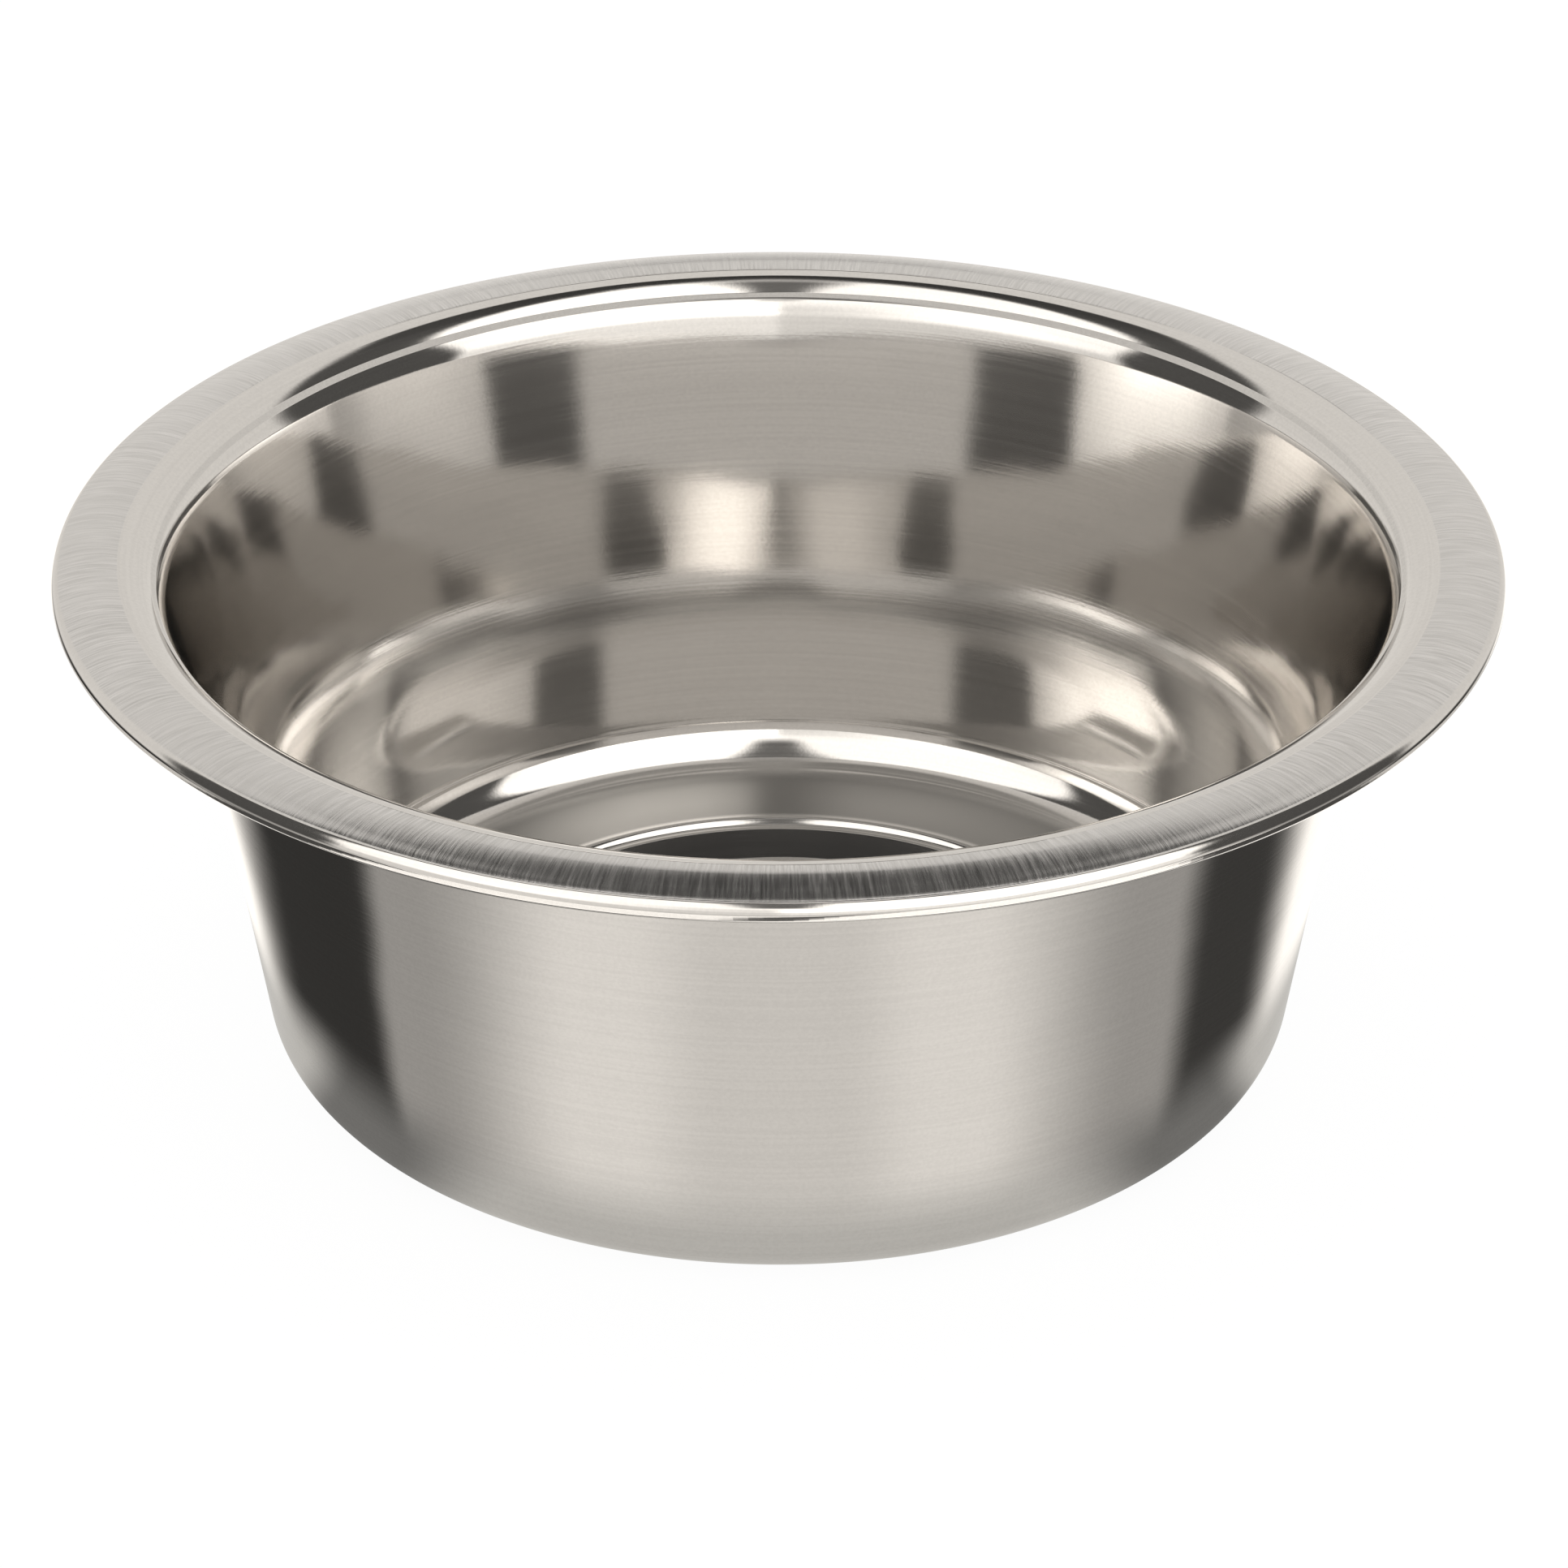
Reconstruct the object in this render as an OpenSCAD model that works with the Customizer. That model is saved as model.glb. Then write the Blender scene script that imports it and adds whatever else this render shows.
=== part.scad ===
// Stainless dog bowl, pressed from one disc of sheet.
// Axis on Z, origin at the middle of the foot's underside, +Z up, millimetres.

/* [Bowl] */
// Diameter over the rolled edge
brim_d = 250; // [200:1:320]
// Height from the table to the top of the brim
bowl_h = 94.9; // [80:0.1:130]
// Thickness of the sheet
sheet_t = 0.5; // [0.35:0.05:1]

/* [Wall] */
// Lean of the lower wall from upright, in degrees
lean_low = 8.4; // [4:0.1:11]
// Lean of the wall just below the brim, in degrees
lean_top = 13.5; // [12:0.1:18]
// Height over which the wall flares from one lean to the other
flare_h = 54; // [20:1:58]

/* [Brim] */
// Radius of the bend between wall and brim, on its upper side
lip_r = 8.4; // [4:0.1:10]
// Radius of the brim's crown, on its upper side
crown_r = 17; // [12:0.5:30]
// Rise of the brim where the bend passes into the crown, in degrees
brim_rise = 25; // [10:1:35]
// Fall of the brim where it passes into the rolled edge, in degrees
brim_fall = 22.4; // [10:0.1:30]
// Diameter of the rolled edge
bead_d = 3.7; // [3:0.1:5]
// Angle through which the edge is rolled
bead_turn = 285; // [230:1:290]

/* [Foot] */
// Radius of the corner between wall and foot, on its outside
corner_r = 9; // [5:0.5:14]
// Width of the flat ring of floor inside that corner
ring_w = 18.2; // [8:0.1:30]
// Drop of the floor from the ring to the disc that the bowl stands on
floor_step = 0.9; // [0.5:0.05:1.4]
// Radius of the two bends of that drop, at mid-sheet
step_r = 2.5; // [1.5:0.1:4]

/* [Hidden] */

// Facets round the bowl, and the largest turn and length of one along the section
round_facets = 180;
facet_turn = 6;
facet_len = 6;

half_t = sheet_t / 2;

// Radii of the bends at mid-sheet
corner_mid_r = corner_r - half_t;
flare_r = flare_h / (sin(lean_top) - sin(lean_low));
lip_mid_r = lip_r - half_t;
crown_mid_r = crown_r - half_t;
bead_mid_r = bead_d / 2 - half_t;

// The drop in the floor is two equal and opposite bends
step_turn = acos(1 - floor_step / (2 * step_r));

// Height that each bend takes, and what is left for the straight lower wall
corner_rise = corner_mid_r * (1 - sin(lean_low));
lip_rise = lip_mid_r * (cos(brim_rise) - sin(lean_top));
crown_rise = crown_mid_r * (1 - cos(brim_rise));
wall_rise = bowl_h - sheet_t - floor_step - corner_rise - flare_h - lip_rise - crown_rise;
wall_len = wall_rise / cos(lean_low);

// Radius that each stretch takes, and what is left for the disc
step_run = 2 * step_r * sin(step_turn);
corner_run = corner_mid_r * cos(lean_low);
wall_run = wall_rise * tan(lean_low);
flare_run = flare_r * (cos(lean_low) - cos(lean_top));
lip_run = lip_mid_r * (cos(lean_top) - sin(brim_rise));
crown_run = crown_mid_r * (sin(brim_rise) + sin(brim_fall));
bead_run = half_t + bead_mid_r * (1 - sin(brim_fall));
disc_r = brim_d / 2 - bead_run - crown_run - lip_run - flare_run - wall_run
    - corner_run - ring_w - step_run;

// Way of the sheet's mid-line from the axis to its edge. A straight is [length],
// and a bend is [radius, turn], which curls up if the turn is positive.
way = [
    [disc_r],
    [step_r, step_turn],
    [step_r, -step_turn],
    [ring_w],
    [corner_mid_r, 90 - lean_low],
    [wall_len],
    [flare_r, lean_low - lean_top],
    [lip_mid_r, lean_top + brim_rise - 90],
    [crown_mid_r, -brim_rise],
    [crown_mid_r, -brim_fall],
    [bead_mid_r, brim_fall - 90],
    [bead_mid_r, 90 - brim_fall - bead_turn]
];

// Chords [length, turn] that a straight or a bend is drawn with
function chords(stretch) = len(stretch) == 1 ? [[stretch[0], 0]] :
    let (
        arc_len = stretch[0] * abs(stretch[1]) * PI / 180,
        count = max(ceil(abs(stretch[1]) / facet_turn), ceil(arc_len / facet_len)),
        turn = stretch[1] / count
    )
    [for (i = [1 : count]) [2 * stretch[0] * sin(abs(turn) / 2), turn]];

// Station [radius, height, heading] at the far end of a chord
function next_station(station, chord) =
    let (heading = station[2] + chord[1] / 2)
    [
        station[0] + chord[0] * cos(heading),
        station[1] + chord[0] * sin(heading),
        station[2] + chord[1]
    ];

all_chords = [for (stretch = way) each chords(stretch)];
stations = [
    for (
        i = 0, station = [0, half_t, 0];
        i <= len(all_chords);
        station = i < len(all_chords) ? next_station(station, all_chords[i]) : station,
        i = i + 1
    ) station
];

// One side of the sheet, at this distance to the left of the mid-line
function side(distance) =
    [for (s = stations) [s[0] - distance * sin(s[2]), s[1] + distance * cos(s[2])]];

function reversed(points) = [for (i = [len(points) - 1 : -1 : 0]) points[i]];

module bowl() {
    color("silver") rotate_extrude($fn = round_facets)
        polygon(concat(side(half_t), reversed(side(-half_t))));
}

bowl();
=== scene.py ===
import math

import bpy
import numpy as np
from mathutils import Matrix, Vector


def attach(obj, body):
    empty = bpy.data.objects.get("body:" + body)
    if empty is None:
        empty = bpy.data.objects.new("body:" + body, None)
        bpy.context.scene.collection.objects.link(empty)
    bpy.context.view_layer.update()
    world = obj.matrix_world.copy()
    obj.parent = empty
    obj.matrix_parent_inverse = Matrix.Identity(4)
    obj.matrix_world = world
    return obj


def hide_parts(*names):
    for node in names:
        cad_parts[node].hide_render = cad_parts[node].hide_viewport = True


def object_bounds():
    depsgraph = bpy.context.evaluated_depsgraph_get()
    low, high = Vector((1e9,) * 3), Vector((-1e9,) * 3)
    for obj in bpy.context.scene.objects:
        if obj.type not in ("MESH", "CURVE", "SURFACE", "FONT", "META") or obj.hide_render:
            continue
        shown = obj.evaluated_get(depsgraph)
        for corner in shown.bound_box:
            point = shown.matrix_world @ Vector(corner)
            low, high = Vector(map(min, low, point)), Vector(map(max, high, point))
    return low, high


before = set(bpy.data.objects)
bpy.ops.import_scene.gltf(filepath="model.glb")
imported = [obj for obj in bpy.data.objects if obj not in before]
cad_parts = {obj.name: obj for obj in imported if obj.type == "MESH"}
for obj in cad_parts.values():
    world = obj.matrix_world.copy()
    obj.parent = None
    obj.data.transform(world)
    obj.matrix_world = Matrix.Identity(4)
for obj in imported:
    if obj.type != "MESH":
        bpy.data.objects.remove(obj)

cadBox = [list(corner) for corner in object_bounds()]
mm = 0.001
tiny = 1e-5                     # keeps a division off zero
print("frame loaded, box", cadBox)


# camera

cameraSet = {
    "eye": (0, -788.2 * mm, 488.2 * mm),
    "pitch": 29.36,             # degrees below the horizon
    "lens": 116.9,
    "sensor": 36,
    "shift": (0.0034, 0),
    "clip": (0.05, 20),
    "bounces": 16,              # light goes round the steel wall many times before it gets out
    "glossyBounces": 14,
}


def makeCamera(s):
    data = bpy.data.cameras.new("studioCamera")
    data.lens = s["lens"]
    data.sensor_width = s["sensor"]
    data.shift_x, data.shift_y = s["shift"]
    data.clip_start, data.clip_end = s["clip"]
    cam = bpy.data.objects.new("studioCamera", data)
    bpy.context.collection.objects.link(cam)
    cam.location = s["eye"]
    cam.rotation_euler = (math.radians(90 - s["pitch"]), 0, 0)
    scene = bpy.context.scene
    scene.camera = cam
    scene.view_settings.view_transform = "Standard"
    scene.cycles.max_bounces = s["bounces"]
    scene.cycles.glossy_bounces = s["glossyBounces"]


makeCamera(cameraSet)
print("camera made")


# shader maths: a wrapped socket that takes plain operators

class Sock:
    def __init__(self, tree, out):
        self.tree = tree
        self.out = out

    def math(self, op, *others):
        return makeNode(self.tree, "ShaderNodeMath", {"operation": op}, [self, *others])

    def __add__(self, b):
        return self.math("ADD", b)

    def __radd__(self, b):
        return self.math("ADD", b)

    def __sub__(self, b):
        return self.math("SUBTRACT", b)

    def __rsub__(self, b):
        return makeNode(self.tree, "ShaderNodeMath", {"operation": "SUBTRACT"}, [b, self])

    def __mul__(self, b):
        return self.math("MULTIPLY", b)

    def __rmul__(self, b):
        return self.math("MULTIPLY", b)

    def __truediv__(self, b):
        return self.math("DIVIDE", b)

    def __pow__(self, b):
        return self.math("POWER", b)

    def __neg__(self):
        return self.math("MULTIPLY", -1.0)

    def __abs__(self):
        return self.math("ABSOLUTE")

    # smooth step: 0 below low, 1 above high, and 3tt - 2ttt between them
    def ramp(self, low, high):
        return makeNode(self.tree, "ShaderNodeMapRange",
                        {"interpolation_type": "SMOOTHSTEP"}, [self, low, high, 0.0, 1.0])

    # a where this is 0, b where it is 1
    def blend(self, a, b):
        return self * (b - a) + a


# one node: its settings first, then the values or links of its sockets
def makeNode(tree, kind, settings=None, inputs=(), output=0):
    node = tree.nodes.new(kind)
    for name, value in (settings or {}).items():
        setattr(node, name, value)
    pairs = inputs.items() if isinstance(inputs, dict) else enumerate(inputs)
    for name, value in pairs:
        if isinstance(value, Sock):
            tree.links.new(value.out, node.inputs[name])
        else:
            node.inputs[name].default_value = value
    return Sock(tree, node.outputs[output]) if len(node.outputs) else node


# colour a where factor is 0, b where it is 1
def mixColour(tree, factor, a, b):
    return makeNode(tree, "ShaderNodeMix", {"data_type": "RGBA"}, {0: factor, 6: a, 7: b}, output=2)


def parts(tree, vector):
    node = makeNode(tree, "ShaderNodeSeparateXYZ", None, [vector]).out.node
    return [Sock(tree, node.outputs[i]) for i in range(3)]


def vectorOf(tree, x, y, z):
    return makeNode(tree, "ShaderNodeCombineXYZ", None, [x, y, z])


def noise(tree, vector, scale, detail):
    return makeNode(tree, "ShaderNodeTexNoise", {"noise_dimensions": "3D"},
                    {"Vector": vector, "Scale": scale, "Detail": detail})


# what the polished steel sees: a white room in front, a dark card on each side that
# leans in over the back, a grey backdrop, and a dark slit down the middle of the front

roomSet = {
    # greys as they show on the steel, 0 to 255 and over; a pair is left and right
    "nearSlit": (222, 300),
    "window": (275, 310),
    "nearCard": (252, 258),
    "overhead": (262, 275),
    "low": (205, 228),
    "windowTurn": (2, 40),           # degrees from the front where the window begins
    "cardTurn": (42, 70),            # and where it falls off towards the card
    "overheadRise": (0.5, 0.8),
    "lowRise": (0.1, 0.35),
    # the card's edges: how far behind the side-to-side arch a ray goes, at its foot and top
    "innerSide": (-0.405, -0.5),
    "innerTop": 0.366,
    "innerBend": (0.12, 0.93),
    "outerSide": (0.15, 0.23),
    "outerTop": 0.85,
    "outerBend": 1.4,
    "innerSoft": 0.05,
    "outerSoft": 0.06,
    "card": 72,
    "cardTop": 52,
    "cardBend": (0.7, 0.95),
    "backdrop": 195,
    "backdropLow": 198,
    "backdropRise": (0.08, 0.2),
    "slit": 95,
    "slitHalf": 0.06,
    "slitSoft": 0.03,
    "slitBack": (0.2, 0.5),
    "slitRise": (0.7, 0.9),
}
# the room stands close by, so what has gone round the wall sees its parts in other places
laterSet = {
    **roomSet,
    "nearSlit": (190, 277),
    "window": (245, 350),
    "nearCard": (190, 160),
    "overhead": (130, 140),
    "low": (150, 160),
    "windowTurn": (3, 24),
    "cardTurn": (36, 88),
    "overheadRise": (0.57, 0.99),
    "lowRise": (-0.1, 0.5),
    "innerSide": (-0.4, -0.46),
    "innerTop": 0.334,
    "innerBend": (0.136, 0.86),
    "outerSide": (0.28, 0.29),
    "outerTop": -0.2,
    "outerBend": 1.8,
    "innerSoft": 0.07,
    "outerSoft": 0.08,
    "card": 86,
    "cardTop": 160,
    "cardBend": (0.15, 0.66),
    "backdropLow": 186,
    "backdropRise": (0.4, 0.5),
    "slit": 150,
    "slitHalf": 0.07,
    "slitSoft": 0.05,
    "slitRise": (0.3, 0.5),
}
# the table, by degrees from the front; a pair of pairs is left and right
tableSet = {
    "front": 190,
    "turned": 207,
    "side": 140,
    "card": (50, 56),
    "back": 243,
    "frontFade": (14, 38),
    "sideFade": (48, 90),
    "cardIn": ((98, 106), (99, 110)),
    "cardOut": ((133, 160), (126, 148)),
    "edge": (-0.3, -0.12),           # how far down a ray goes where the table begins
}
lightSet = {
    "colour": (1.045, 1.005, 0.95, 1),
    "gain": 1.43,                    # so that 255 shows as 255 after one reflection
    "gamma": 2.2,
    "middle": (-0.02, 0.02),         # where left becomes right
    "laterFrom": 2.5,                # reflections before laterSet takes over
}


def makeRoom(s, later, t, light):
    world = bpy.data.worlds.new("studioRoom")
    bpy.context.scene.world = world
    world.use_nodes = True
    tree = world.node_tree
    tree.nodes.clear()
    ray = makeNode(tree, "ShaderNodeTexCoord").out.node
    x, y, z = parts(tree, Sock(tree, ray.outputs["Generated"]))
    across = abs(x)
    right = x.ramp(*light["middle"])

    def sides(pair):
        return right.blend(*pair)

    # share is the height over the side-to-side arch, slant is how far behind it a ray goes
    reach = (x * x + z * z).math("SQRT") + tiny
    share = abs(z.math("ARCTAN2", across)) * (2 / math.pi)
    slant = y / reach
    turn = abs(across.math("ARCTAN2", -y)) * (180 / math.pi)

    def above(s):
        inner = share.ramp(*s["innerBend"]).blend(sides(s["innerSide"]), s["innerTop"])
        outerSide = sides(s["outerSide"])
        outer = outerSide + (s["outerTop"] - outerSide) * share ** s["outerBend"]
        # white front
        level = turn.ramp(*s["windowTurn"]).blend(sides(s["nearSlit"]), sides(s["window"]))
        level = turn.ramp(*s["cardTurn"]).blend(level, sides(s["nearCard"]))
        level = z.ramp(*s["overheadRise"]).blend(level, sides(s["overhead"]))
        level = z.ramp(*s["lowRise"]).blend(sides(s["low"]), level)
        # card, backdrop and slit
        card = share.ramp(*s["cardBend"]).blend(s["card"], s["cardTop"])
        level = (slant - inner).ramp(-s["innerSoft"], s["innerSoft"]).blend(level, card)
        backdrop = z.ramp(*s["backdropRise"]).blend(s["backdropLow"], s["backdrop"])
        level = (slant - outer).ramp(-s["outerSoft"], s["outerSoft"]).blend(level, backdrop)
        slit = across / ((y * y + z * z).math("SQRT") + tiny)
        slit = 1 - slit.ramp(s["slitHalf"] - s["slitSoft"], s["slitHalf"] + s["slitSoft"])
        slit = slit * (1 - slant.ramp(*s["slitBack"])) * z.ramp(*s["slitRise"])
        return slit.blend(level, s["slit"])

    seen = makeNode(tree, "ShaderNodeLightPath").out.node
    gone = Sock(tree, seen.outputs["Ray Depth"]).math("GREATER_THAN", light["laterFrom"])
    level = gone.blend(above(s), above(later))
    table = turn.ramp(*t["frontFade"]).blend(t["front"], t["turned"])
    table = turn.ramp(*t["sideFade"]).blend(table, t["side"])
    table = sides([turn.ramp(*pair) for pair in t["cardIn"]]).blend(table, sides(t["card"]))
    table = sides([turn.ramp(*pair) for pair in t["cardOut"]]).blend(table, t["back"])
    level = z.ramp(*t["edge"]).blend(table, level)
    strength = (level / 255) ** light["gamma"] * light["gain"]
    metalSees = makeNode(tree, "ShaderNodeBackground", None,
                         {"Color": light["colour"], "Strength": strength})
    plain = makeNode(tree, "ShaderNodeBackground", None, {"Color": (1, 1, 1, 1), "Strength": 1.0})
    mix = makeNode(tree, "ShaderNodeMixShader", None,
                   [Sock(tree, seen.outputs["Is Glossy Ray"]), plain, metalSees])
    makeNode(tree, "ShaderNodeOutputWorld", None, [mix])


makeRoom(roomSet, laterSet, tableSet, lightSet)
print("room made")


# floor

floorSet = {
    "half": 6.0,
    "colour": (0.9, 0.9, 0.9, 1),
    "plainShare": 0.92,         # how much of the floor that the camera sees is plain white
    "plainStrength": 1.03,
    "footSeen": (98 * mm, 114 * mm),    # where the floor round the foot passes into the room
    "footColour": (0.60, 0.585, 0.555, 1),
    "footCardShade": (0.21, 0.206, 0.198, 1),
    "cardIn": (32, 50),         # where the painted card shade darkens it, by degrees from the front or back
    "cardOut": (63, 74),
}


def makeFloor(s):
    half = s["half"]
    mesh = bpy.data.meshes.new("studioFloor")
    corners = [(-half, -half, 0), (half, -half, 0), (half, half, 0), (-half, half, 0)]
    mesh.from_pydata(corners, [], [(0, 1, 2, 3)])
    floor = bpy.data.objects.new("studioFloor", mesh)
    bpy.context.collection.objects.link(floor)
    material = bpy.data.materials.new("paleFloor")
    material.use_nodes = True
    tree = material.node_tree
    tree.nodes.clear()
    seen = makeNode(tree, "ShaderNodeLightPath").out.node
    matt = makeNode(tree, "ShaderNodeBsdfDiffuse", None, {"Color": s["colour"]})
    white = makeNode(tree, "ShaderNodeEmission", None,
                     {"Color": (1, 1, 1, 1), "Strength": s["plainStrength"]})
    shown = makeNode(tree, "ShaderNodeMixShader", None, [s["plainShare"], matt, white])
    # to the steel, the floor round the foot glows pale as a painted reflection, with painted card
    # shade at its sides, and is open to the room beyond
    coord = makeNode(tree, "ShaderNodeTexCoord").out.node
    x, y = parts(tree, Sock(tree, coord.outputs["Object"]))[:2]
    radius = (x * x + y * y).math("SQRT")
    turn = abs(x).math("ARCTAN2", abs(y)) * (180 / math.pi)
    shaded = turn.ramp(*s["cardIn"]) * (1 - turn.ramp(*s["cardOut"]))
    footColour = mixColour(tree, shaded, s["footColour"], s["footCardShade"])
    foot = makeNode(tree, "ShaderNodeEmission", None, {"Color": footColour, "Strength": 1.0})
    clear = makeNode(tree, "ShaderNodeBsdfTransparent")
    reflected = makeNode(tree, "ShaderNodeMixShader", None,
                         [radius.ramp(*s["footSeen"]), foot, clear])
    out = makeNode(tree, "ShaderNodeMixShader", None,
                   [Sock(tree, seen.outputs["Is Camera Ray"]), matt, shown])
    out = makeNode(tree, "ShaderNodeMixShader", None,
                   [Sock(tree, seen.outputs["Is Glossy Ray"]), out, reflected])
    makeNode(tree, "ShaderNodeOutputMaterial", None, [out])
    mesh.materials.append(material)


makeFloor(floorSet)
print("floor made")


# the bowl: one sheet, as its section carried round the axis

bowlSet = {
    "sheet": 0.5,
    "leanLow": 8.4,
    "leanTop": 13.5,
    "flareHeight": 54,
    "lipRadius": 8.4,
    "crownRadius": 17,
    "brimRise": 25,
    "brimFall": 22.4,
    "beadWidth": 3.7,
    "beadTurn": 285,
    "cornerRadius": 9,
    "ringWidth": 18.2,
    "floorStep": 0.9,
    "stepRadius": 2.5,
    "round": 340,               # facets round the bowl
}


# the sheet's mid-line: straights [length] and bends [radius, turn], each cut into chords;
# a chord turns the heading by its turn, and the points are running sums of the chords
def sheetWay(s):
    half = s["sheet"] / 2
    reach = cadBox[1][0] / mm
    height = cadBox[1][2] / mm
    low, top, rise, fall, roll = (math.radians(s[k]) for k in
                                  ("leanLow", "leanTop", "brimRise", "brimFall", "beadTurn"))
    corner, lip, crown, bead = (s["cornerRadius"] - half, s["lipRadius"] - half,
                                s["crownRadius"] - half, s["beadWidth"] / 2 - half)
    step = math.acos(1 - s["floorStep"] / (2 * s["stepRadius"]))
    flare = s["flareHeight"] / (math.sin(top) - math.sin(low))
    wall = (height - s["sheet"] - s["floorStep"] - corner * (1 - math.sin(low)) - s["flareHeight"]
            - lip * (math.cos(rise) - math.sin(top)) - crown * (1 - math.cos(rise)))
    disc = (reach - half - bead * (1 - math.sin(fall)) - crown * (math.sin(rise) + math.sin(fall))
            - lip * (math.cos(top) - math.sin(rise)) - flare * (math.cos(low) - math.cos(top))
            - wall * math.tan(low) - corner * math.cos(low) - s["ringWidth"]
            - 2 * s["stepRadius"] * math.sin(step))
    quarter = math.pi / 2
    way = [                     # length or radius, turn, chords
        (disc, 0, 4),
        (s["stepRadius"], step, 7),
        (s["stepRadius"], -step, 7),
        (s["ringWidth"], 0, 3),
        (corner, quarter - low, 24),
        (wall / math.cos(low), 0, 4),
        (flare, low - top, 12),
        (lip, top + rise - quarter, 18),
        (crown, -rise - fall, 22),
        (bead, -roll, 36),
    ]
    lengths = []
    turns = []
    for size, turn, count in way:
        each = turn / count
        chord = size / count if turn == 0 else 2 * size * math.sin(abs(each) / 2)
        lengths.append(np.full(count, chord))
        turns.append(np.full(count, each))
    lengths = np.concatenate(lengths)
    turns = np.concatenate(turns)
    heading = np.concatenate([[0], np.cumsum(turns)])
    middle = heading[1:] - turns / 2
    radius = np.concatenate([[0], np.cumsum(lengths * np.cos(middle))])
    z = half + np.concatenate([[0], np.cumsum(lengths * np.sin(middle))])
    return radius, z, heading


# both faces of the sheet, half its thickness off the mid-line, turned round the axis:
# a point is (r cos a, r sin a, z), with a pole at each end of the section
def makeBowl(s):
    radius, z, heading = sheetWay(s)
    half = s["sheet"] / 2
    r = np.concatenate([radius - half * np.sin(heading), (radius + half * np.sin(heading))[::-1]])
    h = np.concatenate([z + half * np.cos(heading), (z - half * np.cos(heading))[::-1]])
    angle = np.linspace(0, 2 * np.pi, s["round"], endpoint=False)
    rows = len(r) - 2
    cols = len(angle)
    grid = np.stack([np.outer(r[1:-1], np.cos(angle)), np.outer(r[1:-1], np.sin(angle)),
                     np.repeat(h[1:-1, None], cols, axis=1)], axis=-1).reshape(-1, 3)
    points = np.concatenate([grid, [[0, 0, h[0]], [0, 0, h[-1]]]]) * mm
    i, j = np.meshgrid(np.arange(rows - 1), np.arange(cols), indexing="ij")
    k = (j + 1) % cols
    quads = np.stack([(i + 1) * cols + j, (i + 1) * cols + k, i * cols + k, i * cols + j], axis=-1)
    j = np.arange(cols)
    k = (j + 1) % cols
    lastRow = (rows - 1) * cols
    topFan = np.stack([j, k, np.full(cols, rows * cols)], axis=-1)
    lowFan = np.stack([lastRow + k, lastRow + j, np.full(cols, rows * cols + 1)], axis=-1)
    loops = np.concatenate([quads.ravel(), topFan.ravel(), lowFan.ravel()])
    sizes = np.concatenate([np.full((rows - 1) * cols, 4), np.full(2 * cols, 3)])
    mesh = bpy.data.meshes.new("bowlSheet")
    mesh.vertices.add(len(points))
    mesh.vertices.foreach_set("co", points.ravel())
    mesh.loops.add(len(loops))
    mesh.loops.foreach_set("vertex_index", loops.astype(np.int32))
    mesh.polygons.add(len(sizes))
    starts = np.concatenate([[0], np.cumsum(sizes)[:-1]])
    mesh.polygons.foreach_set("loop_start", starts.astype(np.int32))
    mesh.polygons.foreach_set("use_smooth", np.ones(len(sizes), bool))
    mesh.update(calc_edges=True)
    mesh.validate()
    bowl = bpy.data.objects.new("bowlSheet", mesh)
    bpy.context.collection.objects.link(bowl)
    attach(bowl, "root")
    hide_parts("bowl")
    return bowl


bowl = makeBowl(bowlSet)
print("bowl made", len(bowl.data.polygons))


# steel

# noise scales count cells to the metre, and marksRound and linesRound count them to a radian
steelSet = {
    "tintLow": (0.683, 0.669, 0.652, 1),
    "tintHigh": (0.739, 0.725, 0.706, 1),
    "brimTint": (0.81, 0.80, 0.795, 1),
    "brimDark": (0.50, 0.495, 0.485, 1),
    "polish": 0.075,
    "polishSpread": 0.05,
    "brimRough": 0.19,
    "brimRoughSpread": 0.2,
    # the flat ring of the floor is left duller, and its colour is darkened as painted shade of the
    # dark reflections it shows
    "ringShadeTint": (0.34, 0.335, 0.325, 1),
    "ringRough": 0.24,
    "ringStart": (64.6 * mm, 66.0 * mm),
    "ringEnd": (79.0 * mm, 84.0 * mm),
    "ringUnder": (0.8 * mm, 1.2 * mm),
    "ringOver": (3 * mm, 4 * mm),
    "brimStart": (113.5 * mm, 113.8 * mm),
    "brimEnd": (123.5 * mm, 124.0 * mm),
    "brimFloor": 91 * mm,       # the satin is on the brim's upper side alone
    # slight slopes, as rise outwards, where it sets in and where it fades, in millimetres
    "brimSlopes": [
        (-0.2, (111.2, 112.2), (117.4, 122.6)),
        (0.055, (121.2, 122.2), (122.8, 123.6)),
        (0.3, (113.3, 113.45), (113.65, 113.8)),
    ],
    "floorSlopes": [
        (0.305, (48, 51), (61.0, 62.2)),
    ],
    # brush marks run outwards on the brim, and polishing lines run round the wall
    "marksRound": 250,
    "marksOut": 130,
    "marksDetail": 4.0,
    "marksShare": 0.6,          # in the least worn patches, and what is added in the most worn
    "marksTint": 1.1,
    "linesRound": 1.5,
    "linesUp": 1500,
    "linesDetail": 3.0,
    "patchScale": 45.0,
    "patchDetail": 2.0,
    "patchSpan": (0.35, 0.7),
    "waveScale": 35,
    "grainScale": 1600.0,
    "linesInTint": 0.55,
    "grainInTint": 0.45,
    "tintSpan": (0.3, 0.7),
    # depths in millimetres
    "wave": 0.2,
    "grain": 0.0016,
    "linesDeep": 0.003,
    "marksDeep": 0.022,
}


# 0 below low, and a straight rise of 1 in 1 above high, with a parabola between them
def softRise(value, low, high):
    span = high - low
    part = (value - low).math("MAXIMUM", 0.0)
    bend = part.math("MINIMUM", span)
    return bend * bend / (2 * span) + (part - bend)


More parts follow.
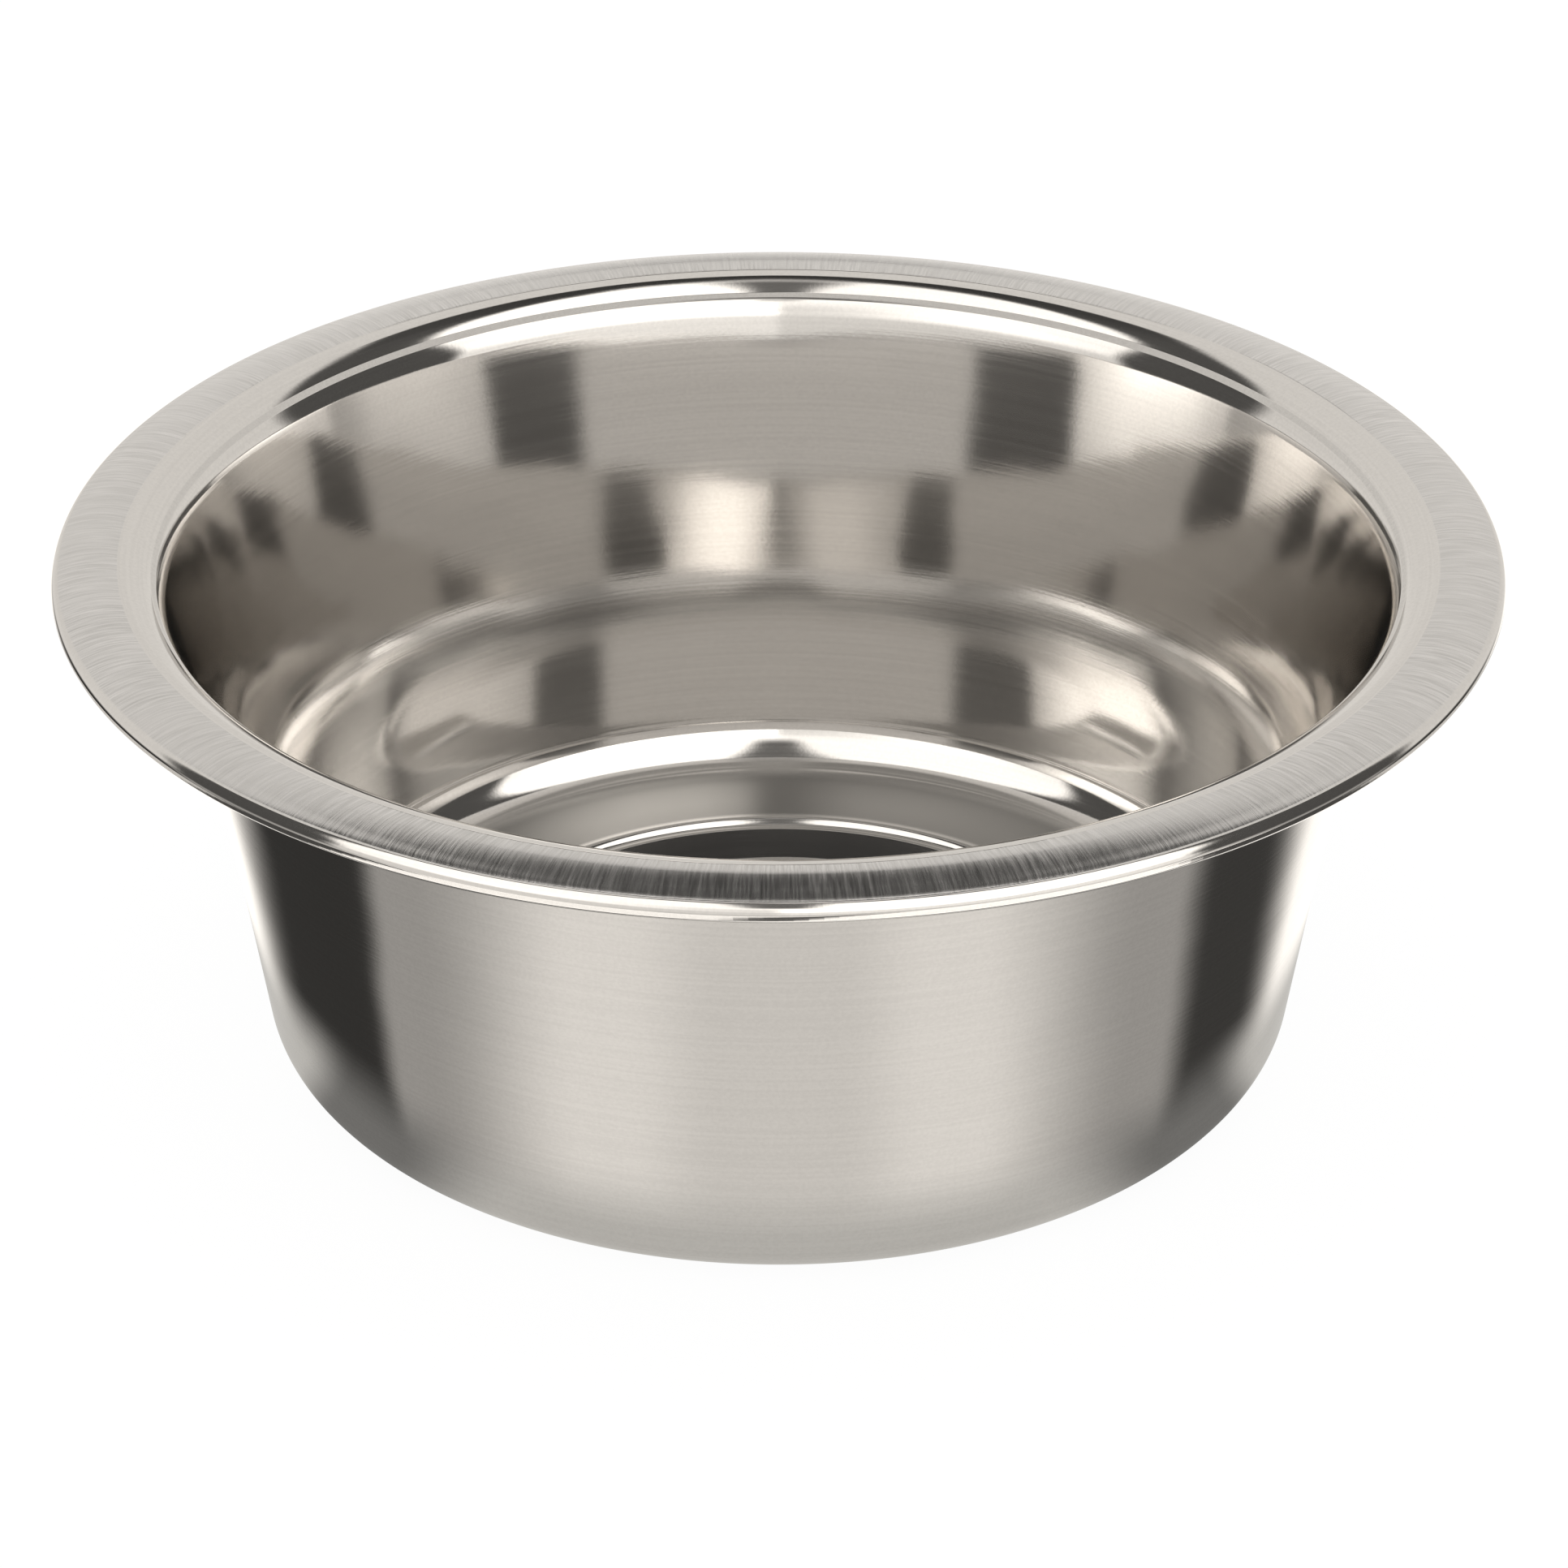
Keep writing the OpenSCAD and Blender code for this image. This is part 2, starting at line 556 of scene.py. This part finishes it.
def makeSteel(s):
    material = bpy.data.materials.new("polishedSteel")
    material.use_nodes = True
    tree = material.node_tree
    tree.nodes.clear()
    coord = makeNode(tree, "ShaderNodeTexCoord").out.node
    place = Sock(tree, coord.outputs["Object"])
    x, y, z = parts(tree, place)
    radius = (x * x + y * y).math("SQRT")
    brim = radius.ramp(*s["brimStart"]) * (1 - radius.ramp(*s["brimEnd"]))
    brim = brim * z.ramp(s["brimFloor"], s["brimFloor"] + 1 * mm)
    turnX = x / (radius + tiny)
    turnY = y / (radius + tiny)

    # a noise in cells round the bowl and along the section
    def streaky(cellsRound, cellsAlong, along, detail):
        vector = vectorOf(tree, turnX * cellsRound, turnY * cellsRound, along * cellsAlong)
        return noise(tree, vector, 1.0, detail)

    marks = streaky(s["marksRound"], s["marksOut"], radius, s["marksDetail"])
    lines = streaky(s["linesRound"], s["linesUp"], z + radius, s["linesDetail"])
    patches = noise(tree, place, s["patchScale"], s["patchDetail"]).ramp(*s["patchSpan"])
    grain = noise(tree, place, s["grainScale"], 1.0)
    wave = noise(tree, place, s["waveScale"], 1.0)
    ring = radius.ramp(*s["ringStart"]) * (1 - radius.ramp(*s["ringEnd"]))
    ring = ring * z.ramp(*s["ringUnder"]) * (1 - z.ramp(*s["ringOver"]))
    # the satin is worn in patches, and each patch has its own share of marks
    streaks = (marks - 0.5) * (s["marksShare"] + patches * s["marksShare"])
    polish = s["polish"] + (lines - 0.5) * s["polishSpread"]
    rough = ring.blend(polish, s["ringRough"])
    rough = brim.blend(rough, s["brimRough"] + streaks * s["brimRoughSpread"])
    tone = (lines * s["linesInTint"] + grain * s["grainInTint"]).ramp(*s["tintSpan"])
    colour = mixColour(tree, tone, s["tintLow"], s["tintHigh"])
    # painted shade: the flat ring of the floor is darkened in its colour
    colour = mixColour(tree, ring, colour, s["ringShadeTint"])
    tone = (streaks * s["marksTint"] + 0.5).ramp(0.0, 1.0)
    satin = mixColour(tree, tone, s["brimDark"], s["brimTint"])
    colour = mixColour(tree, brim, colour, satin)
    # each slope is the difference of two soft rises, so it starts and ends softly
    across = radius / mm

    def relief(slopes):
        total = 0.0
        for rise, start, end in slopes:
            total = (softRise(across, *start) - softRise(across, *end)) * rise + total
        return total

    top = z.ramp(s["brimFloor"], s["brimFloor"] + 1 * mm)
    height = top.blend(relief(s["floorSlopes"]), relief(s["brimSlopes"]))
    skin = brim.blend(wave * s["wave"] + lines * s["linesDeep"], streaks * s["marksDeep"])
    height = height + skin + grain * s["grain"]
    bump = makeNode(tree, "ShaderNodeBump", None,
                    {"Strength": 1.0, "Distance": 1 * mm, "Height": height})
    shader = makeNode(tree, "ShaderNodeBsdfPrincipled", None,
                      {"Base Color": colour, "Metallic": 1.0, "Roughness": rough, "Normal": bump})
    makeNode(tree, "ShaderNodeOutputMaterial", None, [shader])
    return material


bowl.data.materials.append(makeSteel(steelSet))
print("steel made")
